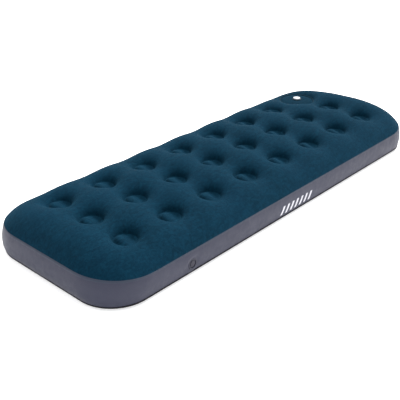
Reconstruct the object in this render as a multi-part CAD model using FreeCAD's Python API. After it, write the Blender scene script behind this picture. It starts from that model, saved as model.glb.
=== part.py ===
import FreeCAD, Part
import math
import os

Vector = FreeCAD.Vector
UP = Vector(0, 0, 1)
ORIGIN = Vector(0, 0, 0)

# All sizes are millimetres. The mattress lies along X, the foot pump is at its +X, +Y corner,
# and the origin is on the floor under the middle.

# Bed
length = 1910
width = 680
height = 172
corner_radius = 160
side_bulge = 4
skin = 2.5
seam_height = 104
seam_gap = 4
seam_depth = 8
seam_stand = 1.2
roll_reach = 130
roll_side_radius = 44
base_seam_height = 12
base_inset = 6
base_roll_reach = 40
base_roll_side_radius = 7

# Grid of coil beams: rows along X, columns along Y
columns = 8
rows = 3
column_pitch = 211
row_pitch = 176.5
weld_height = 141
base_weld_height = 16
weld_inner_radius = 38
weld_outer_radius = 48
dimple_crown = 4
dimple_crown_share = 0.75
flare_reach_share = 0.42
flare_height_share = 0.36
dimple_radius = 90
base_dimple_radius = 78
coil_radius = 43
coil_wall = 2
coil_flange_inner_radius = 38.5
coil_flange_outer_radius = 47.5
vent_radius = 9
vents = 6

# Foot pump
pump_x = 735
pump_y = 182
pump_rim_height = 150
pump_hole_radius = 84
pump_flange_radius = 92
pump_funnel_radius = 112
pump_ring_inner_radius = 80
dome_foot_radius = 79
dome_flat_radius = 25
dome_rise = 5
dome_shoulder_share = 0.8
dome_hole_radius = 16
chamber_radius = 78
chamber_wall = 2
chamber_floor = 30
foam_radius = 70
foam_bore_radius = 30
foam_clearance = 0.5

# Pump inlet valve, in the middle of the dome
inlet_tube_radius = 15.7
inlet_bore_radius = 11
inlet_flange_radius = 22
inlet_flange = 2
inlet_rim_above_dome = 3
inlet_tube_below_dome = 14
cap_radius = 16.5
cap_height = 4.7
cap_edge_round = 1.5
cap_stem_radius = 10.5
cap_stem = 2.5
cap_gap = 0.3
strap_radius = 18
strap_thickness = 1
strap_width = 8
strap_reach = 20.5
tab_start = 14
inlet_flap_radius = 13
inlet_flap_thickness = 1.5
flap_gap = 0.3

# Pump outlet valve, in the chamber's floor
outlet_seat_radius = 16
outlet_bore_radius = 11
outlet_seat_above = 2
outlet_seat_below = 4
outlet_flap_radius = 14
outlet_flap_thickness = 1.5

# Release valve, in the front wall
release_x = -583
release_z = 45
release_flange_radius = 20
release_flange_depth = 12
release_collar_radius = 15
release_collar = 2
release_recess_radius = 16
release_recess = 2.2
release_neck_radius = 13
release_bore_radius = 8
release_neck_length = 22
release_running_gap = 0.3
plug_head_radius = 11
plug_head = 1.6
plug_stem_radius = 7.6
plug_stem = 2.2
plug_gap = 0.3
plug_tab_width = 5
plug_tab_reach = 12.7
release_flap_radius = 10
release_flap_thickness = 1.2

half_length = length / 2 - side_bulge
half_width = width / 2 - side_bulge
centre_x = half_length - corner_radius
centre_y = half_width - corner_radius
CORNERS = [
    Vector(centre_x, centre_y, 0),
    Vector(-centre_x, centre_y, 0),
    Vector(-centre_x, -centre_y, 0),
    Vector(centre_x, -centre_y, 0),
]
QUARTER = 90
FULL_TURN = 4 * QUARTER


def section(edges):
    """A face in the (reach, height) plane, from edges drawn in X and Y."""
    face = Part.Face(Part.Wire(Part.sortEdges(edges)[0]))
    face.rotate(ORIGIN, Vector(1, 0, 0), QUARTER)
    return face


def line(a, b):
    return Part.makeLine(Vector(*a, 0), Vector(*b, 0))


def arc(a, middle, b):
    return Part.Arc(Vector(*a, 0), Vector(*middle, 0), Vector(*b, 0)).toShape()


def polygon(points):
    """The straight edges from point to point, not closed."""
    return [line(a, b) for a, b in zip(points, points[1:])]


def ring(inner, outer, low, high):
    """A flat ring about the vertical axis."""
    solid = Part.makeCylinder(outer, high - low, Vector(0, 0, low))
    return solid.cut(Part.makeCylinder(inner, high - low, Vector(0, 0, low)))


def disc(radius, low, high):
    return Part.makeCylinder(radius, high - low, Vector(0, 0, low))


def fused(shapes):
    return shapes[0].fuse(shapes[1:]).removeSplitter() if len(shapes) > 1 else shapes[0]


def go_round(profile):
    """Carries a section round the plan: a quarter turn at each corner and a straight run between."""
    runs = []
    for k, corner in enumerate(CORNERS):
        turned = profile.copy()
        turned.rotate(ORIGIN, UP, QUARTER * k)
        turned.translate(corner)
        runs.append(turned.revolve(corner, UP, QUARTER))
        runs.append(turned.extrude(CORNERS[k - 1] - corner))
    return runs


def core(low, high):
    return Part.makeBox(2 * centre_x, 2 * centre_y, high - low, Vector(-centre_x, -centre_y, low))


def roll(edge, reach, seam, crest, side_radius):
    """Two tangent arcs from the upright side at (edge, seam) to the level at (edge - reach, crest)."""
    way = math.copysign(1, crest - seam)
    rise = abs(crest - seam)
    crown_radius = (reach**2 + rise**2 - 2 * reach * side_radius) / (2 * (rise - side_radius))
    side_centre = (edge - side_radius, 0)
    crown_centre = (edge - reach, rise - crown_radius)
    lean = math.atan2(side_centre[1] - crown_centre[1], side_centre[0] - crown_centre[0])

    def on(centre, radius, angle):
        return (
            centre[0] + radius * math.cos(angle),
            seam + way * (centre[1] + radius * math.sin(angle)),
        )

    right = math.pi / 2
    meet = on(side_centre, side_radius, lean)
    side = arc((edge, seam), on(side_centre, side_radius, lean / 2), meet)
    crown = arc(meet, on(crown_centre, crown_radius, (lean + right) / 2), (edge - reach, crest))
    return [side, crown]


def rolled_slab(edge, reach, seam, crest, side_radius):
    """A solid with the plan's outline at the seam, which rolls over to a level face at the crest."""
    outline = roll(edge, reach, seam, crest, side_radius)
    outline += polygon([(edge - reach, crest), (0, crest), (0, seam), (edge, seam)])
    return fused([core(min(seam, crest), max(seam, crest))] + go_round(section(outline)))


def grid():
    """The places of the coil beams, column by column. The last one of the back row is the pump's."""
    places = []
    for column in range(columns):
        for row in range(rows):
            x = (column - (columns - 1) / 2) * column_pitch
            y = (row - (rows - 1) / 2) * row_pitch
            places.append(Vector(x, y, 0))
    return places[:-1]


def funnel(weld, crest, crown, inner, outer, rim):
    """The tool for one dimple: a low crown, a level ring, and a flare out to the crest."""
    way = math.copysign(1, crest - weld)
    beyond = crest + way * skin
    flare = (outer + (rim - outer) * flare_reach_share, weld + (crest - weld) * flare_height_share)
    edges = [
        arc((0, weld + way * crown), (inner / 2, weld + way * crown * dimple_crown_share), (inner, weld)),
        line((inner, weld), (outer, weld)),
        arc((outer, weld), flare, (rim, crest)),
    ]
    edges += polygon([(rim, crest), (rim, beyond), (0, beyond), (0, weld + way * crown)])
    return section(edges).revolve(ORIGIN, UP, FULL_TURN)


def at(shape, place):
    moved = shape.copy()
    moved.translate(place)
    return moved


def quilted_shell(edge, reach, seam, crest, side_radius, weld, rim, extra=(), pads=()):
    """A thin panel: a rolled slab, dimpled at every coil beam, less the same slab one skin inside.

    Pads make room for dimples that are deeper than the slab.
    """
    inward = -math.copysign(skin, crest - seam)
    outer = fused([rolled_slab(edge, reach, seam, crest, side_radius), *pads])
    inner = rolled_slab(edge - skin, reach - skin, seam, crest + inward, side_radius - skin)
    inner = fused([inner, *pads])
    tool = funnel(weld, crest, dimple_crown, weld_inner_radius, weld_outer_radius, rim)
    tools = [at(tool, place) for place in grid()] + list(extra)
    outer = outer.cut(tools)
    inner = inner.cut([at(each, Vector(0, 0, inward)) for each in tools])
    return outer.cut(inner)


def top_panel():
    radii = (weld_inner_radius, pump_flange_radius, pump_funnel_radius)
    pump = funnel(pump_rim_height, height, dimple_crown, *radii)
    panel = quilted_shell(
        corner_radius,
        roll_reach,
        seam_height + seam_gap / 2,
        height,
        roll_side_radius,
        weld_height,
        dimple_radius,
        [at(pump, PUMP)],
    )
    return panel.cut(at(disc(pump_hole_radius, pump_rim_height - 2 * skin, height), PUMP))


def bottom_panel():
    edge_height = base_seam_height - seam_gap / 2
    pad = disc(base_dimple_radius, edge_height - skin, base_weld_height + 2 * skin)
    return quilted_shell(
        corner_radius - base_inset,
        base_roll_reach,
        edge_height,
        0,
        base_roll_side_radius,
        base_weld_height,
        base_dimple_radius,
        pads=[at(pad, place) for place in grid()],
    )


def side_band():
    top = seam_height - seam_gap / 2
    low = base_seam_height + seam_gap / 2
    foot = corner_radius - base_inset
    middle = (corner_radius + side_bulge, (top + low) / 2)
    profile = [
        arc((corner_radius, top), middle, (foot, low)),
        line((foot, low), (foot - skin, low)),
        arc((foot - skin, low), (middle[0] - skin, middle[1]), (corner_radius - skin, top)),
        line((corner_radius - skin, top), (corner_radius, top)),
    ]
    band = fused(go_round(section(profile)))
    return band.cut(release(disc(release_flange_radius, -skin, 4 * skin)))


def seam(edge, middle):
    """A welded bead between two panels, with a flat tail inside and a round nose outside."""
    low = middle - seam_gap / 2
    high = middle + seam_gap / 2
    tail = edge - seam_depth
    profile = polygon([(edge, low), (tail, low), (tail, high), (edge, high)])
    profile.append(arc((edge, high), (edge + seam_stand, middle), (edge, low)))
    return fused(go_round(section(profile)))


def coil_beam():
    """One tube between the panels, with a weld flange at each end and air vents round its middle."""
    low = base_weld_height + skin
    high = weld_height - skin
    tube = ring(coil_radius - coil_wall, coil_radius, low, high)
    foot = ring(coil_flange_inner_radius, coil_flange_outer_radius, low, low + coil_wall)
    head = ring(coil_flange_inner_radius, coil_flange_outer_radius, high - coil_wall, high)
    beam = fused([tube, foot, head])
    drills = []
    for k in range(vents):
        angle = math.radians(FULL_TURN * k / vents)
        outward = Vector(math.cos(angle), math.sin(angle), 0)
        middle = Vector(0, 0, (low + high) / 2)
        drills.append(Part.makeCylinder(vent_radius, 2 * coil_radius, middle, outward))
    return beam.cut(drills)


PUMP = Vector(pump_x, pump_y, 0)
lip_under = pump_rim_height - skin
flange_under = lip_under - skin
dome_top = pump_rim_height + dome_rise
foam_top = flange_under - foam_clearance
rim_top = dome_top + inlet_rim_above_dome
cap_under = rim_top + cap_gap
chamber_top = flange_under


def pump_ring_weld():
    return at(ring(pump_ring_inner_radius, pump_hole_radius, lip_under, pump_rim_height), PUMP)


def pump_dome():
    """The skin that the foot presses, with its flange under the top panel's lip."""
    foot_inner = dome_foot_radius - skin
    shoulder = (dome_foot_radius + dome_flat_radius) / 2
    over = lip_under + (dome_top - lip_under) * dome_shoulder_share
    edges = [
        line((pump_flange_radius, lip_under), (dome_foot_radius, lip_under)),
        arc((dome_foot_radius, lip_under), (shoulder, over), (dome_flat_radius, dome_top)),
        line((dome_flat_radius, dome_top), (dome_hole_radius, dome_top)),
        line((dome_hole_radius, dome_top), (dome_hole_radius, dome_top - skin)),
        line((dome_hole_radius, dome_top - skin), (dome_flat_radius, dome_top - skin)),
        arc((dome_flat_radius, dome_top - skin), (shoulder, over - skin), (foot_inner, flange_under)),
        line((foot_inner, flange_under), (pump_flange_radius, flange_under)),
        line((pump_flange_radius, flange_under), (pump_flange_radius, lip_under)),
    ]
    return at(section(edges).revolve(ORIGIN, UP, FULL_TURN), PUMP)


def pump_wall():
    tube = ring(chamber_radius - chamber_wall, chamber_radius, chamber_floor, chamber_top)
    head = ring(chamber_radius, pump_flange_radius, chamber_top - chamber_wall, chamber_top)
    return at(fused([tube, head]), PUMP)


def pump_base():
    floor = ring(outlet_seat_radius, chamber_radius, chamber_floor - skin, chamber_floor)
    return at(floor, PUMP)


def pump_foam():
    return at(ring(foam_bore_radius, foam_radius, chamber_floor, foam_top), PUMP)


def inlet_valve_base():
    """A tube through the dome, with a flange above and below the skin."""
    low = dome_top - inlet_tube_below_dome
    under = dome_top - skin
    tube = ring(inlet_bore_radius, inlet_tube_radius, low, rim_top)
    above = ring(inlet_bore_radius, inlet_flange_radius, dome_top, dome_top + inlet_flange)
    below = ring(inlet_bore_radius, inlet_flange_radius, under - inlet_flange, under)
    return at(fused([tube, above, below]), PUMP)


def inlet_valve_strap():
    low = dome_top + inlet_flange
    loop = disc(strap_radius, low, low + strap_thickness)
    tongue = Part.makeBox(strap_width, strap_reach, strap_thickness, Vector(-strap_width / 2, 0, low))
    hole = disc(inlet_tube_radius, low, low + strap_thickness)
    return at(fused([loop, tongue]).cut(hole), PUMP)


def inlet_valve_cap():
    """A round lid with a rounded edge, a short stem that enters the bore, and a hinge tab."""
    top = cap_under + cap_height
    shoulder = cap_radius - cap_edge_round
    bend = cap_edge_round * (1 - math.sqrt(0.5))
    edges = polygon([(shoulder, top), (0, top), (0, cap_under), (cap_radius, cap_under)])
    edges.append(line((cap_radius, cap_under), (cap_radius, top - cap_edge_round)))
    edges.append(arc((cap_radius, top - cap_edge_round), (cap_radius - bend, top - bend), (shoulder, top)))
    lid = section(edges).revolve(ORIGIN, UP, FULL_TURN)
    stem = disc(cap_stem_radius, cap_under - cap_stem, cap_under)
    reach = strap_reach - tab_start
    tab = Part.makeBox(strap_width, reach, cap_edge_round, Vector(-strap_width / 2, tab_start, cap_under))
    return at(fused([lid, stem, tab]), PUMP)


def inlet_valve_flap():
    top = dome_top - inlet_tube_below_dome - flap_gap
    return at(disc(inlet_flap_radius, top - inlet_flap_thickness, top), PUMP)


def outlet_valve_seat():
    low = chamber_floor - skin - outlet_seat_below
    return at(ring(outlet_bore_radius, outlet_seat_radius, low, chamber_floor + outlet_seat_above), PUMP)


def outlet_valve_flap():
    top = chamber_floor - skin - outlet_seat_below - flap_gap
    return at(disc(outlet_flap_radius, top - outlet_flap_thickness, top), PUMP)


def release(shape):
    """Places a shape drawn about the vertical axis, its mouth downwards, in the front wall."""
    placed = shape.copy()
    placed.rotate(ORIGIN, Vector(1, 0, 0), -QUARTER)
    placed.translate(Vector(release_x, -width / 2, release_z))
    return placed


def release_valve_flange():
    """A recessed collar, flush with the wall, that the neck slides in."""
    body = disc(release_flange_radius, 0, release_flange_depth)
    recess = disc(release_recess_radius, 0, release_recess)
    bore = disc(release_neck_radius + release_running_gap, 0, release_flange_depth)
    return release(body.cut([recess, bore]))


neck_mouth = release_recess
neck_end = neck_mouth + release_neck_length
plug_seat = neck_mouth - plug_gap


def release_valve_neck():
    """A tube that slides in the flange, with a collar inside that stops it coming out."""
    tube = ring(release_bore_radius, release_neck_radius, neck_mouth, neck_end)
    collar = ring(release_bore_radius, release_collar_radius, neck_end - release_collar, neck_end)
    return release(fused([tube, collar]))


def release_valve_plug():
    """A flat head with a short stem in the neck's bore, and a hinge tab at its top."""
    head = disc(plug_head_radius, plug_seat - plug_head, plug_seat)
    stem = disc(plug_stem_radius, plug_seat, plug_seat + plug_stem)
    corner = Vector(-plug_tab_width / 2, -plug_tab_reach, plug_seat - plug_head)
    tab = Part.makeBox(plug_tab_width, plug_tab_reach, plug_head, corner)
    return release(fused([head, stem, tab]))


def release_valve_flap():
    start = neck_end + flap_gap
    return release(disc(release_flap_radius, start, start + release_flap_thickness))


def write(name, shape):
    solids = shape.Solids
    whole = solids[0] if len(solids) == 1 else Part.makeCompound(solids)
    if not whole.isValid():
        raise ValueError(f"{name} is not a valid shape")
    whole.exportStep(f"parts/{name}.step")
    print(f"{name}: {len(solids)} solid, {whole.Volume / 1000:.1f} cm3")


NODES = {
    "top_panel": top_panel,
    "side_band": side_band,
    "bottom_panel": bottom_panel,
    "top_seam": lambda: seam(corner_radius, seam_height),
    "bottom_seam": lambda: seam(corner_radius - base_inset, base_seam_height),
    "pump_ring_weld": pump_ring_weld,
    "pump_dome": pump_dome,
    "pump_wall": pump_wall,
    "pump_base": pump_base,
    "pump_foam": pump_foam,
    "inlet_valve_base": inlet_valve_base,
    "inlet_valve_strap": inlet_valve_strap,
    "inlet_valve_cap": inlet_valve_cap,
    "inlet_valve_flap": inlet_valve_flap,
    "outlet_valve_seat": outlet_valve_seat,
    "outlet_valve_flap": outlet_valve_flap,
    "release_valve_flange": release_valve_flange,
    "release_valve_neck": release_valve_neck,
    "release_valve_plug": release_valve_plug,
    "release_valve_flap": release_valve_flap,
}


def main():
    os.makedirs("parts", exist_ok=True)
    for name, make in NODES.items():
        write(name, make())
    beam = coil_beam()
    for number, place in enumerate(grid(), 1):
        write(f"coil_beam_{number:02d}", at(beam, place))


main()
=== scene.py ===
import math

import bmesh
import bpy
import numpy as np
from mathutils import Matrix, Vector, geometry, noise


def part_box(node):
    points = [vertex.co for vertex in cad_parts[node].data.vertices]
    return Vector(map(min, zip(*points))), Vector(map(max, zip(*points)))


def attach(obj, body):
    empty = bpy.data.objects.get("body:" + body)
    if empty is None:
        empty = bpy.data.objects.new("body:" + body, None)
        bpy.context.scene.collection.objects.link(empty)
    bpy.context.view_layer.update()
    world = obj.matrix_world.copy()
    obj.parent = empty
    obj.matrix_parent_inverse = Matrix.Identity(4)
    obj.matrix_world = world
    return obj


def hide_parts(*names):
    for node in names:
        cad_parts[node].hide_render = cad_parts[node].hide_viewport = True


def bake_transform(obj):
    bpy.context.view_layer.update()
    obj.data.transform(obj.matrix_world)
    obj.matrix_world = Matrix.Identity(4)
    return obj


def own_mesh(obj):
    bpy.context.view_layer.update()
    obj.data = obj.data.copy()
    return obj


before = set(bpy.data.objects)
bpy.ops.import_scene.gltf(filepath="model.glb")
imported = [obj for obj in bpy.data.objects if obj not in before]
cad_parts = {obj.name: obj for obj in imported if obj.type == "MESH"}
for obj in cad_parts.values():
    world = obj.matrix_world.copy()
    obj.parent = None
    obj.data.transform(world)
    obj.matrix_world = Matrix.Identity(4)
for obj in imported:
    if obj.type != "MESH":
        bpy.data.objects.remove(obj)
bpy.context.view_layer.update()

# Places and sizes come from the frame, in metres. Each box is its lowest and its highest corner.
SEAM_LOW, SEAM_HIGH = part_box("top_seam")
BASE_SEAM_LOW, BASE_SEAM_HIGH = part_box("bottom_seam")
PUMP_LOW, PUMP_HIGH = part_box("pump_ring_weld")
VALVE_LOW, VALVE_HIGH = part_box("release_valve_flange")
FOAM_LOW, FOAM_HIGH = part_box("pump_foam")
DOME_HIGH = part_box("pump_dome")[1]

# The sheets are welded to the ends of the coil beams, and the middle row is drawn up less tightly.
COIL_BEAMS = sorted(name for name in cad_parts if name.startswith("coil_beam_"))
SKIN = 0.0025
WELDS = [(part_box(name)[0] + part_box(name)[1]) / 2 for name in COIL_BEAMS]
WELD_PLAN = np.array([[weld.x, weld.y] for weld in WELDS])
TOP_WELD_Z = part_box(COIL_BEAMS[0])[1].z + SKIN
BASE_WELD_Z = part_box(COIL_BEAMS[0])[0].z - SKIN
MIDDLE_ROW_RISE = 0.005
MIDDLE_ROW_REACH = 0.09
PUMP = (PUMP_LOW + PUMP_HIGH) / 2
PUMP_RADIUS = (PUMP_HIGH.x - PUMP_LOW.x) / 2
VALVE = (VALVE_LOW + VALVE_HIGH) / 2
VALVE_RADIUS = (VALVE_HIGH.x - VALVE_LOW.x) / 2

# The plan's outline, which is rounder at the top seam than at the base.
SEAM_LAP = 0.001
HALF_LENGTH = SEAM_HIGH.x
HALF_WIDTH = SEAM_HIGH.y + SEAM_LAP
TOP_CORNER = 0.176
BASE_CORNER = 0.146
BASE_INSET = 0.004
SIDE_BULGE = 0.006
END_BULGE = 0.013
BULGE_FULLNESS = 0.8
SEAM_Z = (SEAM_LOW.z + SEAM_HIGH.z) / 2
BASE_SEAM_Z = (BASE_SEAM_LOW.z + BASE_SEAM_HIGH.z) / 2

# Mesh spacing, and the rings of points round each weld, whose flat land is between inner and outer.
SPACING = 0.0085
EDGE_SPACING = SPACING * 0.85
BEAD_SPACING = SPACING * 0.8
WELD_SPACING = 0.0062
VALVE_SPACING = 0.004
RING_GAP = SPACING * 0.5
EDGE_GAP = SPACING * 0.6
VALVE_GAP = SPACING / 3
LEAST_SIDES = 8
WELD_INNER = 0.0400
WELD_OUTER = 0.0430
INNER_RINGS = (0.010, 0.019, 0.027, 0.034)
OUTER_RINGS = (0.0445, 0.0465, 0.0495, 0.0535, 0.059, 0.066, 0.074)
WELD_RINGS = (*INNER_RINGS, WELD_INNER, WELD_OUTER, *OUTER_RINGS)
PUMP_RIM_Z = PUMP_HIGH.z
PUMP_RINGS = (PUMP_RADIUS, 0.0865, 0.0895, 0.094, 0.100, 0.107)
EDGE_RINGS = (0.0, 0.003, 0.008, 0.014)

# Distances below which two places count as one.
SAME_PLACE = 1e-5
ON_EDGE = 1e-6
SAME_POINT = 1e-7

# The air draws the top seam up at the two ends, and the long sides sag a little.
END_LIFT = 0.013
SIDE_SAG = 0.005
LIFT_REACH = 0.22
CORNER_LOSS = 0.55

# Air pressure over the sheet's tension, in 1/m: the sheet is slackest in its weld discs and along the sides.
PRESSURE = 10.6
SIDE_PRESSURE = 12.2
END_PRESSURE = 10.8
DISC_PRESSURE = 14.0
BASE_PRESSURE = 9.0
EDGE_REACH = 0.16

# The solver's steps, how often it works out the pressure's push anew, and how much motion it carries over.
STEPS = 320
PUSH_EVERY = 4
CARRY = 0.9
COTANGENT_RANGE = (0.02, 20)
LEAST_AREA = 1e-12

# The slack disc inside each weld dips on the side that this turn points to, and bulges on the other.
DISC_LEAN = 0.029
LEAN_TURN = math.radians(-25)

# How much more steeply the stiff sheet leaves a weld than a thin film would, and how far out that is felt.
LIP_RISE = 0.010
LIP_REACH = 0.014
LIP_FADE = 0.034
PUMP_LIP_SHARE = 0.6

# Radial creases round each weld, as waves per turn, and soft ripples over the whole top.
PUCKER_WAVES = (11, 17)
PUCKER_PHASES = (2.3, 1.1)
FINE_PUCKER_SHARE = 0.7
PUCKER_START = 0.006
PUCKER_FADE = 0.014
TOP_PUCKER = 0.00035
BASE_PUCKER = 0.0003
RIPPLE_HEIGHT = 0.0009
RIPPLE_SCALE = 9.0
RIPPLE_MARGIN = 0.05
SEED_SHIFT = (3.7, 1.3, 2.1)


# ---------------------------------------------------------------- meshes


def from_arrays(name, points, faces):
    """A smooth-shaded object from points and faces."""
    mesh = bpy.data.meshes.new(name)
    mesh.from_pydata([tuple(map(float, p)) for p in points], [], [tuple(map(int, f)) for f in faces])
    mesh.validate()
    mesh.update()
    mesh.polygons.foreach_set("use_smooth", [True] * len(mesh.polygons))
    obj = bpy.data.objects.new(name, mesh)
    bpy.context.scene.collection.objects.link(obj)
    return obj


def depth_inside(points, half_x, half_y, corner):
    """How far each plan point is inside the rounded rectangle."""
    q = np.abs(points[:, :2]) - (np.array([half_x, half_y]) - corner)
    outside = np.linalg.norm(np.maximum(q, 0), axis=1)
    return corner - outside - np.minimum(q.max(axis=1), 0)


# The outline's nine parts, anticlockwise from the middle of the back side: each one's start and end,
# as signs of the corner centres, and the quarter turns that its outward normal starts and ends at.
PART_START = np.array([[0, 1], [-1, 1], [-1, 1], [-1, -1], [-1, -1], [1, -1], [1, -1], [1, 1], [1, 1]])
PART_END = np.array([[-1, 1], [-1, 1], [-1, -1], [-1, -1], [1, -1], [1, -1], [1, 1], [1, 1], [0, 1]])
TURN_START = np.array([1, 1, 2, 2, 3, 3, 4, 4, 5])
TURN_END = np.array([1, 2, 2, 3, 3, 4, 4, 5, 5])


def part_lengths(half_x, half_y, corner):
    """The lengths of the outline's nine parts."""
    arc = corner * math.pi / 2
    long, short = 2 * (half_x - corner), 2 * (half_y - corner)
    return np.array([long / 2, arc, short, arc, long, arc, short, arc, long / 2])


def walk(along, lengths, half_x, half_y, corner):
    """Plan points and outward normals at distances along an outline with these part lengths.

    Half sizes and corner may be arrays, one value for each point.
    """
    ends = np.cumsum(lengths)
    part = np.minimum(np.searchsorted(ends, along, side="right"), len(lengths) - 1)
    share = ((along - (ends - lengths)[part]) / lengths[part])[:, None]
    ones = np.ones(len(along))
    inner = np.stack([half_x * ones - corner, half_y * ones - corner], axis=1)
    base = inner * (PART_START[part] + (PART_END - PART_START)[part] * share)
    angle = (TURN_START[part] + (TURN_END - TURN_START)[part] * share[:, 0]) * math.pi / 2
    normal = np.stack([np.cos(angle), np.sin(angle)], axis=1)
    return base + normal * (corner * ones)[:, None], normal


def circle(centre, radius, spacing, phase=0.0):
    """Plan points on a circle, turned by a share of the step between them."""
    count = max(LEAST_SIDES, round(2 * math.pi * radius / spacing))
    angles = (np.arange(count) + phase) * 2 * math.pi / count
    return np.stack([centre[0] + radius * np.cos(angles), centre[1] + radius * np.sin(angles)], axis=1)


def lattice(low, high, spacing):
    """A triangular lattice over a rectangle."""
    rise = spacing * math.sqrt(3) / 2
    rows = []
    for k, y in enumerate(np.arange(low[1], high[1], rise)):
        x = np.arange(low[0], high[0], spacing) + (spacing / 2 if k % 2 else 0)
        rows.append(np.stack([x, np.full(len(x), y)], axis=1))
    return np.concatenate(rows)


def triangulate(points):
    """Delaunay triangles of plan points, as rows of three indices, anticlockwise."""
    _, _, faces, sources, _, _ = geometry.delaunay_2d_cdt([Vector(p) for p in points], [], [], 0, SAME_POINT)
    first_source = np.array([found[0] for found in sources])
    return first_source[np.array(faces)]


def away(points, centre, radius):
    """Which plan points are further from the centre than the radius."""
    return np.linalg.norm(points - np.array(centre[:2]), axis=1) > radius


def weld_circles(centre):
    """The middle of a weld and the rings round it, finer near its land."""
    rings = [np.array([[centre[0], centre[1]]])]
    for k, radius in enumerate(WELD_RINGS):
        spacing = WELD_SPACING if radius < WELD_RINGS[-2] else SPACING
        rings.append(circle(centre, radius, spacing, 0.5 * (k % 2) if radius != WELD_OUTER else 0))
    return np.concatenate(rings)


def panel_plan(half_x, half_y, corner, pump):
    """Plan points and triangles of a panel: rings along its edge and round each weld, a lattice between."""
    groups = []
    for depth in EDGE_RINGS:
        hx, hy, c = half_x - depth, half_y - depth, corner - depth
        lengths = part_lengths(hx, hy, c)
        count = round(lengths.sum() / EDGE_SPACING)
        along = np.arange(count) * lengths.sum() / count
        groups.append(walk(along, lengths, hx, hy, c)[0])
    for weld in WELDS:
        ring = weld_circles(weld)
        if pump:
            ring = ring[away(ring, PUMP, PUMP_RINGS[-1] + RING_GAP)]
        groups.append(ring)
    if pump:
        for k, radius in enumerate(PUMP_RINGS):
            groups.append(circle(PUMP, radius, BEAD_SPACING, 0.5 * (k % 2)))
    field = lattice((-half_x, -half_y), (half_x, half_y), SPACING)
    field = field[depth_inside(field, half_x, half_y, corner) > EDGE_RINGS[-1] + EDGE_GAP]
    for weld in WELDS:
        field = field[away(field, weld, WELD_RINGS[-1] + RING_GAP)]
    if pump:
        field = field[away(field, PUMP, PUMP_RINGS[-1] + RING_GAP)]
    points = np.concatenate(groups + [field])
    triangles = triangulate(points)
    if pump:
        middle = points[triangles].mean(axis=1)
        triangles = triangles[away(middle, PUMP, PUMP_RADIUS)]
    return points, triangles


class Sums:
    """Adds rows that belong to the same vertex."""

    def __init__(self, owner):
        self.order = np.argsort(owner, kind="stable")
        self.starts = np.flatnonzero(np.r_[True, np.diff(owner[self.order]) > 0])

    def __call__(self, rows):
        return np.add.reduceat(rows[self.order], self.starts, axis=0)


def inflate(plan, triangles, start, fixed, pressure, floor=None):
    """The shape of a sheet under even tension and air pressure, held at its fixed points.

    Each corner of a triangle takes a third of the air's push on it.
    """
    spring_from, spring_to, stiffness = [], [], []
    for a, b, c in ((0, 1, 2), (1, 2, 0), (2, 0, 1)):
        p, q, r = (plan[triangles[:, k]] for k in (a, b, c))
        u, v = q - p, r - p
        twice_area = np.abs(u[:, 0] * v[:, 1] - u[:, 1] * v[:, 0])
        cotangent = (u * v).sum(axis=1) / np.maximum(twice_area, LEAST_AREA)
        half = np.clip(cotangent, *COTANGENT_RANGE) / 2
        spring_from += [triangles[:, b], triangles[:, c]]
        spring_to += [triangles[:, c], triangles[:, b]]
        stiffness += [half, half]
    spring_from, spring_to = np.concatenate(spring_from), np.concatenate(spring_to)
    stiffness = np.concatenate(stiffness)[:, None]
    pull_at, push_at = Sums(spring_from), Sums(triangles.T.ravel())
    total = pull_at(stiffness)
    shape, before = start.copy(), start.copy()
    for step in range(STEPS):
        if step % PUSH_EVERY == 0:
            a, b, c = (shape[triangles[:, k]] for k in range(3))
            third = np.cross(b - a, c - a) / 6
            push = push_at(np.concatenate([third] * 3)) * pressure[:, None]
        target = (pull_at(stiffness * shape[spring_to]) + push) / total
        moved = target + CARRY * (shape - before)
        moved[fixed] = start[fixed]
        if floor is not None:
            moved[:, 2] = np.maximum(moved[:, 2], floor)
        before, shape = shape, moved
    return shape


def nearest_weld(points):
    """Each plan point's distance to the nearest weld's middle, and that weld's number."""
    gaps = np.linalg.norm(points[:, None, :2] - WELD_PLAN[None], axis=2)
    return gaps.min(axis=1), gaps.argmin(axis=1)


def eased(share):
    """A smooth step from 0 to 1."""
    share = np.clip(share, 0, 1)
    return share * share * (3 - 2 * share)


def ripple(points, scale, seed):
    """Smooth noise from -1 to 1 at each point."""
    shift = Vector([part * seed for part in SEED_SHIFT])
    return np.array([noise.noise(Vector(p) * scale + shift) for p in points])


def puckers(points, gap, weld, amount):
    """Small radial creases that a weld draws in the sheet round it."""
    across = points[:, :2] - WELD_PLAN[weld]
    angle = np.arctan2(across[:, 1], across[:, 0])
    broad, fine = (np.cos(n * angle + phase * weld) for n, phase in zip(PUCKER_WAVES, PUCKER_PHASES))
    waves = broad + FINE_PUCKER_SHARE * fine
    beyond = gap - WELD_OUTER
    fade = np.clip(beyond / PUCKER_START, 0, 1) * np.exp(-np.maximum(beyond, 0) / PUCKER_FADE)
    return amount * waves * fade


def lip(beyond):
    """The extra height of the sheet at a distance beyond the edge of a weld."""
    beyond = np.maximum(beyond, 0)
    return LIP_RISE * (1 - np.exp(-beyond / LIP_REACH)) * np.exp(-beyond / LIP_FADE)


def disc_lean(points, gap, weld):
    """How much the slack disc inside each weld bulges to one side of its middle."""
    across = points[:, :2] - WELD_PLAN[weld]
    side = (across[:, 0] * math.cos(LEAN_TURN) + across[:, 1] * math.sin(LEAN_TURN)) / WELD_INNER
    share = np.clip(gap / WELD_INNER, 0, 1)
    return -DISC_LEAN * side * (1 - share**2) * (share < 1)


def seam_lift(plan):
    """How far the top seam is above its mean height at each plan point."""
    share = eased((np.abs(plan[:, 0]) - (HALF_LENGTH - LIFT_REACH)) / LIFT_REACH)
    aside = eased((-plan[:, 1] - (HALF_WIDTH - TOP_CORNER)) / TOP_CORNER)
    return END_LIFT * share * (1 - CORNER_LOSS * aside) - SIDE_SAG * (1 - share)


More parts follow.
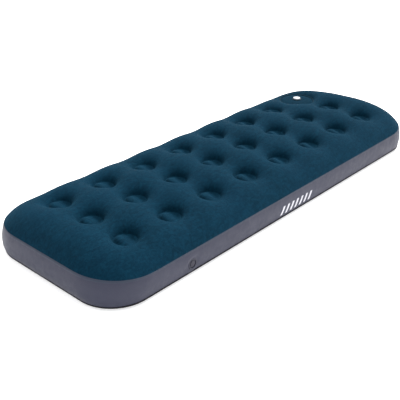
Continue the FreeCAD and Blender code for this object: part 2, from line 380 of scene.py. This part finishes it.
def row_rise(y):
    """How much higher the middle row's welds are drawn than the outer rows'."""
    return MIDDLE_ROW_RISE * np.exp(-((y / MIDDLE_ROW_REACH) ** 2))


def on_land(gap):
    """Which points are on the flat land of a weld."""
    return (gap > WELD_INNER - SAME_PLACE) & (gap < WELD_OUTER + SAME_PLACE)


def edge_share(plan, half, axis):
    """How near each plan point is to the panel's edge along one axis: 1 at the edge, 0 beyond its reach."""
    return np.clip(1 - (half - np.abs(plan[:, axis])) / EDGE_REACH, 0, 1)


def top_panel():
    """The flocked sheet, held at its seam, its welds and the pump's ring."""
    plan, triangles = panel_plan(HALF_LENGTH, HALF_WIDTH, TOP_CORNER, pump=True)
    depth = depth_inside(plan, HALF_LENGTH, HALF_WIDTH, TOP_CORNER)
    gap, weld = nearest_weld(plan)
    to_pump = np.linalg.norm(plan - np.array(PUMP[:2]), axis=1)
    weld_height = TOP_WELD_Z + row_rise(plan[:, 1])
    on_seam, on_weld = depth < ON_EDGE, on_land(gap)
    on_pump = to_pump < PUMP_RADIUS + SAME_PLACE
    height = np.where(on_seam, SEAM_Z + seam_lift(plan), weld_height)
    start = np.column_stack([plan, np.where(on_pump, PUMP_RIM_Z, height)])
    near_side, near_end = edge_share(plan, HALF_WIDTH, 1), edge_share(plan, HALF_LENGTH, 0)
    pressure = PRESSURE + (SIDE_PRESSURE - PRESSURE) * near_side + (END_PRESSURE - PRESSURE) * near_end
    pressure[gap < WELD_INNER] = DISC_PRESSURE
    shape = inflate(plan, triangles, start, on_seam | on_weld | on_pump, pressure)
    shape[:, 2] += lip(gap - WELD_OUTER) + PUMP_LIP_SHARE * lip(to_pump - PUMP_RADIUS)
    shape[:, 2] += disc_lean(plan, gap, weld)
    shape[:, 2] += puckers(plan, gap, weld, TOP_PUCKER)
    inside = np.clip(depth / RIPPLE_MARGIN, 0, 1) * ~on_weld
    shape[:, 2] += RIPPLE_HEIGHT * ripple(shape, RIPPLE_SCALE, 1) * inside
    return from_arrays("flocked_top_panel", shape, triangles)


def bottom_panel():
    """The base sheet, held at its seam and its welds, and flat where it rests on the floor."""
    half_x, half_y = HALF_LENGTH - BASE_INSET, HALF_WIDTH - BASE_INSET
    plan, triangles = panel_plan(half_x, half_y, BASE_CORNER, pump=False)
    depth = depth_inside(plan, half_x, half_y, BASE_CORNER)
    gap, weld = nearest_weld(plan)
    on_seam = depth < ON_EDGE
    start = np.column_stack([plan, np.where(on_seam, BASE_SEAM_Z, BASE_WELD_Z)])
    pressure = np.full(len(plan), -BASE_PRESSURE)
    shape = inflate(plan, triangles, start, on_seam | on_land(gap), pressure, floor=0.0)
    shape[:, 2] = np.maximum(shape[:, 2] + puckers(plan, gap, weld, BASE_PUCKER), 0)
    return from_arrays("base_panel", shape, triangles[:, ::-1])


# ---------------------------------------------------------------- side band and seams

BAND_LENGTHS = part_lengths(HALF_LENGTH, HALF_WIDTH, (TOP_CORNER + BASE_CORNER) / 2)
BAND_LENGTH = float(BAND_LENGTHS.sum())
BAND_HEIGHT = SEAM_Z - BASE_SEAM_Z
LOW_LEVELS = (0, 0.002, 0.005, 0.009)
EVEN_LEVELS = np.linspace(0.014, BAND_HEIGHT - 0.004, 12)

# The upright, broad and slanting creases: how each is squeezed along the axes, its scale and its seed.
CREASES = (((1, 1, 0.25), 42.0, 3), ((1, 1, 2.5), 7.0, 4), ((1, 1, 0.6), 16.0, 6))

# How far the upright creases reach from the base seam and the top one, and the heights of all three kinds.
BASE_CREASE_REACH = 0.016
TOP_CREASE_REACH = 0.020
BASE_CREASE = 0.0006
TOP_CREASE = 0.0004
BROAD_CREASE = 0.0007
SLANT_CREASE = 0.0004
CREASE_MARGIN = 0.004

# The rings of points round the valve, and how the wall is drawn in behind its collar.
VALVE_RINGS = [VALVE_RADIUS + step for step in (-0.0015, 0.002, 0.006, 0.012)]
COLLAR_REACH = 0.018
COLLAR_LAP = 0.0008

# The weld strips' edges above and below their seams, how far they stand out, and how far they are tucked in.
TOP_STRIP = (-0.006, 0.0006)
TOP_STRIP_STAND = 0.0007
TOP_STRIP_TUCK = 0.002
BASE_STRIP = (-0.0034, 0.0030)
BASE_STRIP_STAND = 0.0019
BASE_STRIP_TUCK = 0.003
SHOULDER_SHARE = 0.6


def band_place(along, up, out=0.0):
    """Points on the side wall: along the outline, up from the base seam, and out from the wall."""
    share = np.clip(up / BAND_HEIGHT, 0, 1)
    corner = BASE_CORNER + (TOP_CORNER - BASE_CORNER) * share
    half_x = HALF_LENGTH - BASE_INSET * (1 - share)
    half_y = HALF_WIDTH - BASE_INSET * (1 - share)
    plan, normal = walk(along, BAND_LENGTHS, half_x, half_y, corner)
    bulge = SIDE_BULGE + (END_BULGE - SIDE_BULGE) * normal[:, 0] ** 2
    swell = bulge * np.sin(math.pi * share) ** BULGE_FULLNESS
    placed = plan + normal * (swell + out)[:, None]
    return np.column_stack([placed, BASE_SEAM_Z + up + seam_lift(plan) * share**2]), normal


def band_along(x):
    """The distance along the outline of a place on the straight front wall."""
    before = BAND_LENGTHS[:4].sum()
    corner = (TOP_CORNER + BASE_CORNER) / 2
    return float(before + (x + HALF_LENGTH - corner))


def band_relief(points, up):
    """Slight creases in the wall: upright ones near the seams, and long shallow ones in between."""
    near_base = np.exp(-up / BASE_CREASE_REACH)
    near_top = np.exp(-(BAND_HEIGHT - up) / TOP_CREASE_REACH)
    upright, broad, slant = (ripple(points * np.array(axes), scale, seed) for axes, scale, seed in CREASES)
    free = np.clip(np.minimum(up, BAND_HEIGHT - up) / CREASE_MARGIN, 0, 1)
    upright *= BASE_CREASE * near_base + TOP_CREASE * near_top
    return free * (upright + BROAD_CREASE * broad + SLANT_CREASE * slant)


def band_plan(valve):
    """Places on the unrolled wall, along and up, and their triangles, with a hole for the valve."""
    columns = round(BAND_LENGTH / SPACING)
    along = np.arange(columns + 1) * BAND_LENGTH / columns
    levels = np.concatenate([LOW_LEVELS, EVEN_LEVELS, [BAND_HEIGHT]])
    grid_along, grid_up = np.meshgrid(along, levels)
    points = np.column_stack([grid_along.ravel(), grid_up.ravel()])
    points = points[away(points, valve, VALVE_RINGS[-1] + VALVE_GAP)]
    rings = [circle(valve, radius, VALVE_SPACING, 0.5 * (k % 2)) for k, radius in enumerate(VALVE_RINGS)]
    points = np.concatenate([points, *rings])
    triangles = triangulate(points)
    return points, triangles[away(points[triangles].mean(axis=1), valve, VALVE_RINGS[0])]


def side_band():
    """The wall, which meets the valve's collar a little inside its face."""
    valve = np.array([band_along(VALVE.x), VALVE.z - BASE_SEAM_Z])
    points, triangles = band_plan(valve)
    placed, normal = band_place(np.minimum(points[:, 0], BAND_LENGTH - ON_EDGE), points[:, 1])
    relief = band_relief(placed, points[:, 1])
    gap = np.linalg.norm(points - valve, axis=1)
    near = eased(1 - (gap - VALVE_RADIUS) / COLLAR_REACH)
    placed[:, :2] += normal * (relief * (1 - near))[:, None]
    placed[:, 1] += (VALVE_LOW.y + COLLAR_LAP - placed[:, 1]) * near
    band = from_arrays("side_wall", placed, triangles)
    merge_points(band.data, SAME_PLACE)
    return band


def merge_points(mesh, distance):
    """Joins the points that lie within a distance, as where the wall's two ends meet."""
    work = bmesh.new()
    work.from_mesh(mesh)
    bmesh.ops.remove_doubles(work, verts=work.verts, dist=distance)
    work.to_mesh(mesh)
    work.free()


def swept(name, section, place):
    """A closed bead round the outline, from a closed section of (out, up) points."""
    count = round(BAND_LENGTH / BEAD_SPACING)
    along = np.arange(count) * BAND_LENGTH / count
    rings = [place(along, np.full(count, up), np.full(count, out)) for out, up in section]
    points = np.stack(rings, axis=1).reshape(-1, 3)
    sides = len(section)
    faces = []
    for i in range(count):
        for k in range(sides):
            a, b = i * sides + k, i * sides + (k + 1) % sides
            c, d = ((i + 1) % count) * sides + (k + 1) % sides, ((i + 1) % count) * sides + k
            faces.append((a, d, c, b))
    return from_arrays(name, points, faces)


def seam_bead(name, height, edges, stand, tuck):
    """A flat welded strip with rounded edges against the wall, its low and high edges round a height."""
    low, high = edges
    round_off = min(stand, (high - low) / 4)
    shoulder = stand - round_off * SHOULDER_SHARE
    section = [
        (-tuck, low),
        (shoulder, low),
        (stand, low + round_off),
        (stand, (low + high) / 2),
        (stand, high - round_off),
        (shoulder, high),
        (-tuck, high),
    ]

    def place(along, up, out):
        on_wall = np.clip(height + up, 0, BAND_HEIGHT)
        placed = band_place(along, on_wall, out)[0]
        placed[:, 2] += height + up - on_wall
        return placed

    return swept(name, section, place)


def top_seam():
    """The strip where the flocked sheet is welded over the wall, its edge just under the flock. Its paler,
    bluer tone is a painted highlight along the strip.
    """
    return seam_bead("top_weld_strip", BAND_HEIGHT, TOP_STRIP, TOP_STRIP_STAND, TOP_STRIP_TUCK)


def base_seam():
    """The rolled strip where the base sheet is welded under the wall, coloured near black: partly the seam's
    own dark line, partly painted shade under the bed's lower edge.
    """
    return seam_bead("base_weld_strip", 0.0, BASE_STRIP, BASE_STRIP_STAND, BASE_STRIP_TUCK)


# ---------------------------------------------------------------- foot pump

# The cover: heights, then radii of its hole, of the end of its flat middle, of its foot and of its edge.
COVER_GAP = 0.0002
DOME_LIP = PUMP_LOW.z + COVER_GAP
DOME_TOP = DOME_HIGH.z - COVER_GAP
DOME_HOLE = 0.0158
DOME_FLAT = 0.025
DOME_FOOT = 0.079
DOME_EDGE = 0.0825
DOME_STEEPNESS = 2.3
DOME_RING_PITCH = 0.009
DOME_RING_HEIGHT = 0.00012
DOME_RING_START = 0.004
DOME_RING_END = 0.008
# The cover's steps across its flat middle and down its slope, and its steps round.
FLAT_STEPS = 4
SLOPE_STEPS = 40
COVER_SIDES = 128

# The weld ring's edges inside and outside the pump's radius, its crown above the rim, and its rounding.
WELD_INSIDE = 0.004
WELD_OUTSIDE = 0.0022
WELD_CROWN = 0.0009
WELD_ROUNDING = 0.0011
WELD_SIDES = 160

# The foam: the gap round it, the hole through it, and the rounding and unevenness of its cut faces.
FOAM_GAP = 0.0008
FOAM_HOLE = 0.0305
FOAM_ROUNDING = 0.004
FOAM_SIDE_STEPS = 14
FOAM_SIDES = 120
FOAM_WAVE = 0.0005
FOAM_WAVE_SCALE = 60.0
FOAM_PORE = 0.0003
FOAM_PORE_SCALE = 210.0


def revolved(name, section, centre, count):
    """A closed ring about a vertical axis, from an anticlockwise section of (radius, height) points."""
    section = np.array(section)
    angles = np.arange(count) * 2 * math.pi / count
    sides = len(section)
    points = np.empty((count, sides, 3))
    points[:, :, 0] = centre[0] + np.cos(angles)[:, None] * section[:, 0]
    points[:, :, 1] = centre[1] + np.sin(angles)[:, None] * section[:, 0]
    points[:, :, 2] = section[:, 1]
    faces = []
    for i in range(count):
        for k in range(sides):
            here, there = i * sides, ((i + 1) % count) * sides
            after = (k + 1) % sides
            faces.append((here + k, there + k, there + after, here + after))
    return from_arrays(name, points.reshape(-1, 3), faces)


def rounded_section(inner, outer, low, high, radius, arc_steps=4, side_steps=1):
    """An anticlockwise rectangle of (radius, height) points with rounded corners."""
    corners = ((outer, low, -1), (outer, high, 0), (inner, high, 1), (inner, low, 2))
    points = []
    for k, (r, z, quarter) in enumerate(corners):
        centre = np.array([r - radius * (1 if r == outer else -1), z - radius * (1 if z == high else -1)])
        for step in range(arc_steps + 1):
            angle = (quarter + step / arc_steps) * math.pi / 2
            points.append(centre + radius * np.array([math.cos(angle), math.sin(angle)]))
    closed = points + [points[0]]
    filled = []
    for k, (p, q) in enumerate(zip(closed, closed[1:])):
        cuts = side_steps if (k + 1) % (arc_steps + 1) == 0 else 1
        filled += [p + (q - p) * j / cuts for j in range(cuts)]
    return filled


def dome_height(radius):
    """The dome's profile: flat in the middle, falling ever more steeply to its rim."""
    share = np.clip((DOME_FOOT - radius) / (DOME_FOOT - DOME_FLAT), 0, 1)
    rings = 0.5 - 0.5 * np.cos(2 * math.pi * (radius - DOME_FLAT) / DOME_RING_PITCH)
    starting = np.clip((radius - DOME_FLAT) / DOME_RING_START, 0, 1)
    ending = np.clip((DOME_FOOT - radius) / DOME_RING_END, 0, 1)
    crown = (DOME_TOP - DOME_LIP) * (1 - (1 - share) ** DOME_STEEPNESS)
    return DOME_LIP + crown - DOME_RING_HEIGHT * rings * starting * ending


def pump_cover():
    """The skin that the foot presses, with faint rings moulded in it."""
    flat = np.linspace(DOME_HOLE, DOME_FLAT, FLAT_STEPS)[:-1]
    radii = np.concatenate([flat, np.linspace(DOME_FLAT, DOME_EDGE, SLOPE_STEPS)])
    angles = np.arange(COVER_SIDES) * 2 * math.pi / COVER_SIDES
    grid_r, grid_a = np.meshgrid(radii, angles)
    x, y = PUMP.x + grid_r * np.cos(grid_a), PUMP.y + grid_r * np.sin(grid_a)
    points = np.stack([x, y, dome_height(grid_r)], axis=2)
    rings = len(radii)
    faces = []
    for i in range(COVER_SIDES):
        for k in range(rings - 1):
            here, there = i * rings + k, ((i + 1) % COVER_SIDES) * rings + k
            faces.append((here, here + 1, there + 1, there))
    return from_arrays("pump_cover", points.reshape(-1, 3), faces)


def pump_ring():
    """The raised weld where the pump's skin joins the flocked sheet."""
    inner, outer = PUMP_RADIUS - WELD_INSIDE, PUMP_RADIUS + WELD_OUTSIDE
    section = rounded_section(inner, outer, PUMP_LOW.z, PUMP_RIM_Z + WELD_CROWN, WELD_ROUNDING)
    return revolved("pump_weld_ring", section, PUMP, WELD_SIDES)


def foam_block():
    """The pump's foam ring, its faces a little uneven where it was cut."""
    outer = (FOAM_HIGH.x - FOAM_LOW.x) / 2 - FOAM_GAP
    low, high = FOAM_LOW.z + FOAM_GAP, FOAM_HIGH.z - FOAM_GAP
    section = rounded_section(FOAM_HOLE, outer, low, high, FOAM_ROUNDING, side_steps=FOAM_SIDE_STEPS)
    foam = revolved("pump_foam_block", section, PUMP, FOAM_SIDES)
    points = np.array([v.co for v in foam.data.vertices])
    plan = points[:, :2] - np.array(PUMP[:2])
    reach = np.linalg.norm(plan, axis=1)
    uneven = FOAM_WAVE * ripple(points, FOAM_WAVE_SCALE, 8) + FOAM_PORE * ripple(points, FOAM_PORE_SCALE, 9)
    points[:, :2] += plan / reach[:, None] * uneven[:, None]
    foam.data.vertices.foreach_set("co", points.ravel())
    return foam


# ---------------------------------------------------------------- print on the wall

MARK_START = -0.085
MARK_PITCH = 0.030
MARK_WIDTH = 0.012
MARK_SLANT = 0.014
MARK_LOW = 0.014
MARK_HIGH = 0.052
MARK_STAND = 0.0004
MARKS = 7
MARK_COLUMNS = 4
MARK_ROWS = 9


def wall_mark():
    """A plain row of slanted bars printed on the front wall."""
    points, faces = [], []
    row = MARK_COLUMNS + 1
    for k in range(MARKS):
        first = len(points)
        for j in range(MARK_ROWS + 1):
            rise = j / MARK_ROWS
            for i in range(row):
                x = MARK_START + k * MARK_PITCH + MARK_WIDTH * i / MARK_COLUMNS + MARK_SLANT * rise
                points.append((band_along(x), MARK_LOW + (MARK_HIGH - MARK_LOW) * rise))
        for j in range(MARK_ROWS):
            for i in range(MARK_COLUMNS):
                a = first + j * row + i
                faces.append((a, a + 1, a + row + 1, a + row))
    points = np.array(points)
    placed, normal = band_place(points[:, 0], points[:, 1])
    relief = band_relief(placed, points[:, 1])
    placed[:, :2] += normal * (relief + MARK_STAND)[:, None]
    return from_arrays("wall_mark", placed, faces)


# ---------------------------------------------------------------- materials

# How velvety fibre scatters light at its edges.
NAP = {
    "Sheen_Weight": 0.085,
    "Sheen_Roughness": 0.38,
    "Sheen_Tint": (0.08, 0.40, 0.64, 1),
    "Specular_IOR_Level": 0.04,
}

# The flock's nap lying one way and the other, its brushed patches, its matted patches and its specks.
FLOCK_DEEP = (0.0016, 0.0177, 0.0322)
FLOCK_PALE = (0.0022, 0.0224, 0.0436)
FLOCK_BRUSHED = (0.0034, 0.0321, 0.0587)
FLOCK_MATTED = (0.0008, 0.0130, 0.0274)
FLOCK_SPECK = (0.0008, 0.0114, 0.0239)

# The pump's skin between its dots, on its dots, and where it is worn.
COVER_GROUND = (0.0011, 0.0140, 0.0274)
COVER_DOT = (0.0020, 0.0225, 0.0425)
COVER_WORN = (0.0030, 0.0280, 0.0496)

# The foam's yellowed and fresh faces, and the painted shade in its open pores.
FOAM_YELLOWED = (0.46, 0.42, 0.27)
FOAM_FRESH = (0.62, 0.58, 0.42)
FOAM_PORE_SHADE = (0.20, 0.18, 0.11)

# PVC sheets: dark and light tone, lowest and highest roughness, and gloss.
VINYLS = {
    "side_vinyl": ((0.0268, 0.0287, 0.0500), (0.0312, 0.0332, 0.0562), (0.48, 0.60), 0.24),
    "base_vinyl": ((0.0195, 0.0210, 0.0270), (0.0255, 0.0270, 0.0345), (0.50, 0.65), 0.42),
    # The top weld strip is the wall's PVC, coloured paler and bluer as a painted highlight along the strip.
    "weld_strip_highlight_vinyl": ((0.0255, 0.0330, 0.0535), (0.0300, 0.0380, 0.0600), (0.50, 0.62), 0.22),
    # The base weld strip is near black: partly the seam's dark line, partly painted shade where the bed's
    # edge turns under to the floor.
    "base_weld_seam_and_shade_vinyl": ((0.0050, 0.0050, 0.0070), (0.0080, 0.0080, 0.0110), (0.60, 0.75), 0.15),
    "ring_vinyl": ((0.0025, 0.0190, 0.0330), (0.0045, 0.0240, 0.0400), (0.70, 0.85), 0.05),
    "inner_vinyl": ((0.26, 0.27, 0.29), (0.32, 0.33, 0.35), (0.55, 0.70), 0.42),
}
SCUFF_LIGHTNESS = 1.35

# Moulded pieces and the print: dark and light tone, lowest and highest roughness, gloss and clearness.
MOULDINGS = {
    "white_ink": ((0.50, 0.50, 0.55), (0.58, 0.58, 0.63), (0.50, 0.65), 0.50, 0.0),
    "white_plastic": ((0.56, 0.58, 0.63), (0.64, 0.66, 0.70), (0.25, 0.40), 0.50, 0.0),
    "dark_plastic": ((0.008, 0.026, 0.038), (0.012, 0.033, 0.046), (0.60, 0.75), 0.12, 0.0),
    "grey_plastic": ((0.020, 0.0195, 0.032), (0.024, 0.0235, 0.038), (0.50, 0.62), 0.25, 0.0),
    "collar_plastic": ((0.026, 0.0275, 0.0445), (0.030, 0.0315, 0.0500), (0.50, 0.62), 0.25, 0.0),
    "clear_film": ((0.70, 0.72, 0.70), (0.82, 0.83, 0.80), (0.20, 0.35), 0.50, 0.5),
}

FLOOR_DULL = (0.93, 0.93, 0.93)
FLOOR_PALE = (0.95, 0.95, 0.95)
FLOOR_GLOW = 0.55


class Shader:
    """A material on one Principled shader, with short ways to add nodes."""

    def __init__(self, name, **fixed):
        self.material = bpy.data.materials.new(name)
        self.material.use_nodes = True
        self.tree = self.material.node_tree
        self.surface = self.tree.nodes["Principled BSDF"]
        for socket, value in fixed.items():
            self.surface.inputs[socket.replace("_", " ")].default_value = value
        self.place = self.tree.nodes.new("ShaderNodeTexCoord").outputs["Object"]

    def node(self, kind, sockets=(), **settings):
        """Adds a node, with its inputs and its settings."""
        made = self.tree.nodes.new(kind)
        for name, value in settings.items():
            setattr(made, name, value)
        for key, value in dict(sockets).items():
            self.put(made.inputs[key], value)
        return made

    def put(self, socket, value):
        """Links a node's output to a socket, or sets the socket to a number or a vector."""
        if isinstance(value, bpy.types.NodeSocket):
            self.tree.links.new(value, socket)
        else:
            socket.default_value = value

    def noise(self, scale, detail=3.0, roughness=0.55, distortion=0.0, stretch=(1, 1, 1)):
        """Cloudy noise, about 0.5 on average."""
        place = self.node("ShaderNodeMapping", {"Vector": self.place, "Scale": stretch}).outputs[0]
        sockets = {"Vector": place, "Scale": scale, "Detail": detail}
        sockets.update({"Roughness": roughness, "Distortion": distortion})
        return self.node("ShaderNodeTexNoise", sockets).outputs["Fac"]

    def cells(self, scale):
        """The distance to the nearest of many scattered points, for grains, dots and pores."""
        return self.node("ShaderNodeTexVoronoi", {"Vector": self.place, "Scale": scale}).outputs[0]

    def range(self, value, low, high, to_low=0.0, to_high=1.0):
        """The value, with low to high stretched over to_low to to_high."""
        sockets = {"Value": value, 1: low, 2: high, 3: to_low, 4: to_high}
        return self.node("ShaderNodeMapRange", sockets, clamp=True).outputs[0]

    def mix(self, share, dark, light):
        """A blend of two colours, each a colour node's output or three numbers."""
        made = self.node("ShaderNodeMix", data_type="RGBA")
        self.put(made.inputs["Factor"], share)
        self.put(made.inputs["A"], dark if isinstance(dark, bpy.types.NodeSocket) else (*dark, 1))
        self.put(made.inputs["B"], light if isinstance(light, bpy.types.NodeSocket) else (*light, 1))
        return made.outputs["Result"]

    def bump(self, layers):
        """Bumps from (height, distance) pairs, the finest last."""
        normal = None
        for height, distance in layers:
            sockets = {"Height": height, "Distance": distance, "Strength": 1.0}
            if normal is not None:
                sockets["Normal"] = normal
            normal = self.node("ShaderNodeBump", sockets).outputs[0]
        self.put(self.surface.inputs["Normal"], normal)

    def finish(self, **linked):
        """Feeds the surface's sockets and gives the material."""
        for socket, value in linked.items():
            self.put(self.surface.inputs[socket.replace("_", " ")], value)
        return self.material


def flock_material():
    """Short velvety flock: fine fibres, the nap leaning one way and the other in soft patches."""
    made = Shader("flock", **NAP)
    nap = made.range(made.noise(5.5, 4.0, 0.6, 0.8), 0.3, 0.7)
    brushed = made.range(made.noise(38.0, 3.0, 0.6, 1.2, (1, 1.7, 1)), 0.38, 0.62, 0.0, 0.85)
    fibre = made.noise(950.0, 2.0, 0.7)
    tufts = made.noise(260.0, 3.0, 0.6)
    matted = made.range(made.noise(105.0, 4.0, 0.7, 0.4), 0.36, 0.66, 0.0, 0.55)
    speck = made.range(fibre, 0.32, 0.68, 0.0, 0.4)
    colour = made.mix(nap, FLOCK_DEEP, FLOCK_PALE)
    colour = made.mix(brushed, colour, FLOCK_BRUSHED)
    colour = made.mix(matted, colour, FLOCK_MATTED)
    colour = made.mix(speck, colour, FLOCK_SPECK)
    made.bump([(matted, 0.0010), (tufts, 0.0009), (fibre, 0.0006)])
    return made.finish(Base_Color=colour, Roughness=made.range(tufts, 0.3, 0.7, 0.88, 1.0))


def vinyl_material(name):
    """Satin PVC sheet: fine pressed grain, faint mottling, fine scuffs and broad shallow waves."""
    dark, light, roughness, gloss = VINYLS[name]
    made = Shader(name, Specular_IOR_Level=gloss)
    mottle = made.range(made.noise(11.0, 4.0, 0.6, 0.5), 0.32, 0.68)
    grains = made.cells(620.0)
    waves = made.noise(34.0, 2.0, 0.5, 0.3, (1, 1, 0.5))
    scuffs = made.range(made.noise(90.0, 5.0, 0.7, 2.0), 0.58, 0.75, 0.0, 0.35)
    colour = made.mix(mottle, dark, light)
    colour = made.mix(scuffs, colour, tuple(SCUFF_LIGHTNESS * part for part in light))
    made.bump([(waves, 0.0012), (grains, 0.00014)])
    return made.finish(Base_Color=colour, Roughness=made.range(made.noise(48.0), 0.3, 0.7, *roughness))


def cover_material():
    """The pump's tougher skin: darker than the flock, with raised dots for grip and paler worn patches."""
    made = Shader("pump_skin", **NAP)
    dots = made.range(made.cells(210.0), 0.15, 0.55, 1.0, 0.0)
    wear = made.range(made.noise(24.0, 4.0, 0.65, 0.6), 0.35, 0.7)
    colour = made.mix(dots, COVER_GROUND, COVER_DOT)
    colour = made.mix(made.range(wear, 0.0, 1.0, 0.0, 0.3), colour, COVER_WORN)
    made.bump([(made.noise(60.0), 0.0006), (dots, 0.0009)])
    return made.finish(Base_Color=colour, Roughness=made.range(wear, 0.0, 1.0, 0.92, 1.0))


def foam_material():
    """Open foam: pores of two sizes, painted darker as the shade inside them, and faces yellowed in patches.
    """
    made = Shader("open_foam", Specular_IOR_Level=0.1)
    pores = made.range(made.cells(330.0), 0.1, 0.6)
    age = made.range(made.noise(16.0), 0.3, 0.7)
    colour = made.mix(age, FOAM_YELLOWED, FOAM_FRESH)
    # Darkens the pores: painted shade inside the foam's cells.
    colour = made.mix(pores, FOAM_PORE_SHADE, colour)
    made.bump([(made.cells(120.0), 0.0010), (pores, 0.0014)])
    return made.finish(Base_Color=colour, Roughness=made.range(pores, 0.0, 1.0, 1.0, 0.85))


def moulded_material(name):
    """Soft moulded PVC: a faint orange-peel surface and slight clouding."""
    dark, light, roughness, gloss, clearness = MOULDINGS[name]
    made = Shader(name, Specular_IOR_Level=gloss, Transmission_Weight=clearness)
    cloud = made.range(made.noise(60.0, 3.0, 0.6), 0.3, 0.7)
    peel = made.noise(520.0, 2.0, 0.5)
    made.bump([(peel, 0.00012)])
    colour = made.mix(cloud, dark, light)
    return made.finish(Base_Color=colour, Roughness=made.range(peel, 0.3, 0.7, *roughness))


def floor_material():
    """A matt pale floor, lifted by a little glow so that it stays white in every view."""
    glow = {"Emission_Color": (1, 1, 1, 1), "Emission_Strength": FLOOR_GLOW}
    made = Shader("pale_floor", Specular_IOR_Level=0.0, **glow)
    colour = made.mix(made.noise(1.4, 2.0), FLOOR_DULL, FLOOR_PALE)
    return made.finish(Base_Color=colour, Roughness=1.0)


# ---------------------------------------------------------------- assembly


def dress(piece, material):
    """Gives a material to a piece made here."""
    piece.data.materials.clear()
    piece.data.materials.append(material)


def dress_nodes(material, *names):
    """Gives a material to nodes that keep their CAD shape."""
    for name in names:
        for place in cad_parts[name].material_slots:
            place.material = material


def build_bed():
    """The sheets, their welds and the print, which all ride on the bed."""
    top, wall, bottom = top_panel(), side_band(), bottom_panel()
    pieces = (
        (top, flock_material(), "flocked_top", ("top_panel",)),
        (wall, vinyl_material("side_vinyl"), "side_sheet", ("side_band",)),
        (bottom, vinyl_material("base_vinyl"), "base_sheet", ("bottom_panel",)),
        (top_seam(), vinyl_material("weld_strip_highlight_vinyl"), "seam_weld", ("top_seam",)),
        (base_seam(), vinyl_material("base_weld_seam_and_shade_vinyl"), "seam_weld", ("bottom_seam",)),
        (pump_ring(), vinyl_material("ring_vinyl"), "seam_weld", ("pump_ring_weld",)),
        (wall_mark(), moulded_material("white_ink"), "white_valve", ()),
    )
    for piece, material, finish, nodes in pieces:
        dress(piece, material)
        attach(piece, "bed")
        if nodes:
            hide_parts(*nodes)


def build_pump():
    """The pump's cover, fixed where it is built, and its foam, which rides on the bed."""
    cover = pump_cover()
    dress(cover, cover_material())
    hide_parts("pump_dome")
    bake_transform(cover)

    foam = foam_block()
    dress(foam, foam_material())
    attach(foam, "bed")
    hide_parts("pump_foam")
    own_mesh(foam)


def dress_fittings():
    """The beams, the pump's chamber and the valves keep their CAD shapes."""
    dress_nodes(vinyl_material("inner_vinyl"), "pump_wall", "pump_base", *COIL_BEAMS)
    dress_nodes(moulded_material("dark_plastic"), "inlet_valve_base", "inlet_valve_strap")
    dress_nodes(moulded_material("white_plastic"), "inlet_valve_cap", "outlet_valve_seat")
    dress_nodes(moulded_material("collar_plastic"), "release_valve_flange")
    dress_nodes(moulded_material("grey_plastic"), "release_valve_neck", "release_valve_plug")
    flaps = ("inlet_valve_flap", "outlet_valve_flap", "release_valve_flap")
    dress_nodes(moulded_material("clear_film"), *flaps)


# ---------------------------------------------------------------- stage, light and camera

FLOOR_HALF = 30.0
FLOOR_DROP = 0.0006
SKY_COLOUR = (0.98, 0.99, 1.0, 1)

# The key light: azimuth, elevation and spread in degrees, then power and colour.
KEY_LIGHT = (8, 48, 24, 5.3, (1.0, 0.985, 0.97))

CAMERA_PLACE = (-2.087, -1.748, 1.384)
CAMERA_TILT = math.radians(62.05)
CAMERA_TURN = math.radians(-47.56)
SENSOR_WIDTH_MM = 36.0
FOCAL_LENGTH_MM = 64.67


def soft_light(name, azimuth, elevation, spread, power, colour):
    """A distant softbox: where it stands and how wide it is are angles in degrees."""
    light = bpy.data.lights.new(name, "SUN")
    light.angle = math.radians(spread)
    light.energy = power
    light.color = colour
    turn, rise = math.radians(azimuth), math.radians(elevation)
    way = Vector((math.cos(turn) * math.cos(rise), math.sin(turn) * math.cos(rise), math.sin(rise)))
    obj = bpy.data.objects.new(name, light)
    obj.rotation_euler = way.to_track_quat("Z", "Y").to_euler()
    bpy.context.scene.collection.objects.link(obj)


def stage_and_light():
    """A pale floor, an even white sky and one soft key light."""
    corners = [(x * FLOOR_HALF, y * FLOOR_HALF, 0) for x, y in ((-1, -1), (1, -1), (1, 1), (-1, 1))]
    floor = from_arrays("floor", corners, [(0, 1, 2, 3)])
    floor.location.z = -FLOOR_DROP
    dress(floor, floor_material())
    world = bpy.data.worlds.new("studio")
    world.use_nodes = True
    backdrop = world.node_tree.nodes["Background"]
    backdrop.inputs["Color"].default_value = SKY_COLOUR
    backdrop.inputs["Strength"].default_value = 1.0
    bpy.context.scene.world = world
    soft_light("key", *KEY_LIGHT)
    bpy.context.scene.view_settings.view_transform = "Standard"


def camera():
    """The photograph's view."""
    lens = bpy.data.cameras.new("camera")
    lens.sensor_width = SENSOR_WIDTH_MM
    lens.lens = FOCAL_LENGTH_MM
    obj = bpy.data.objects.new("camera", lens)
    obj.location = CAMERA_PLACE
    obj.rotation_euler = (CAMERA_TILT, 0, CAMERA_TURN)
    bpy.context.scene.collection.objects.link(obj)
    bpy.context.scene.camera = obj


build_bed()
build_pump()
dress_fittings()
stage_and_light()
camera()
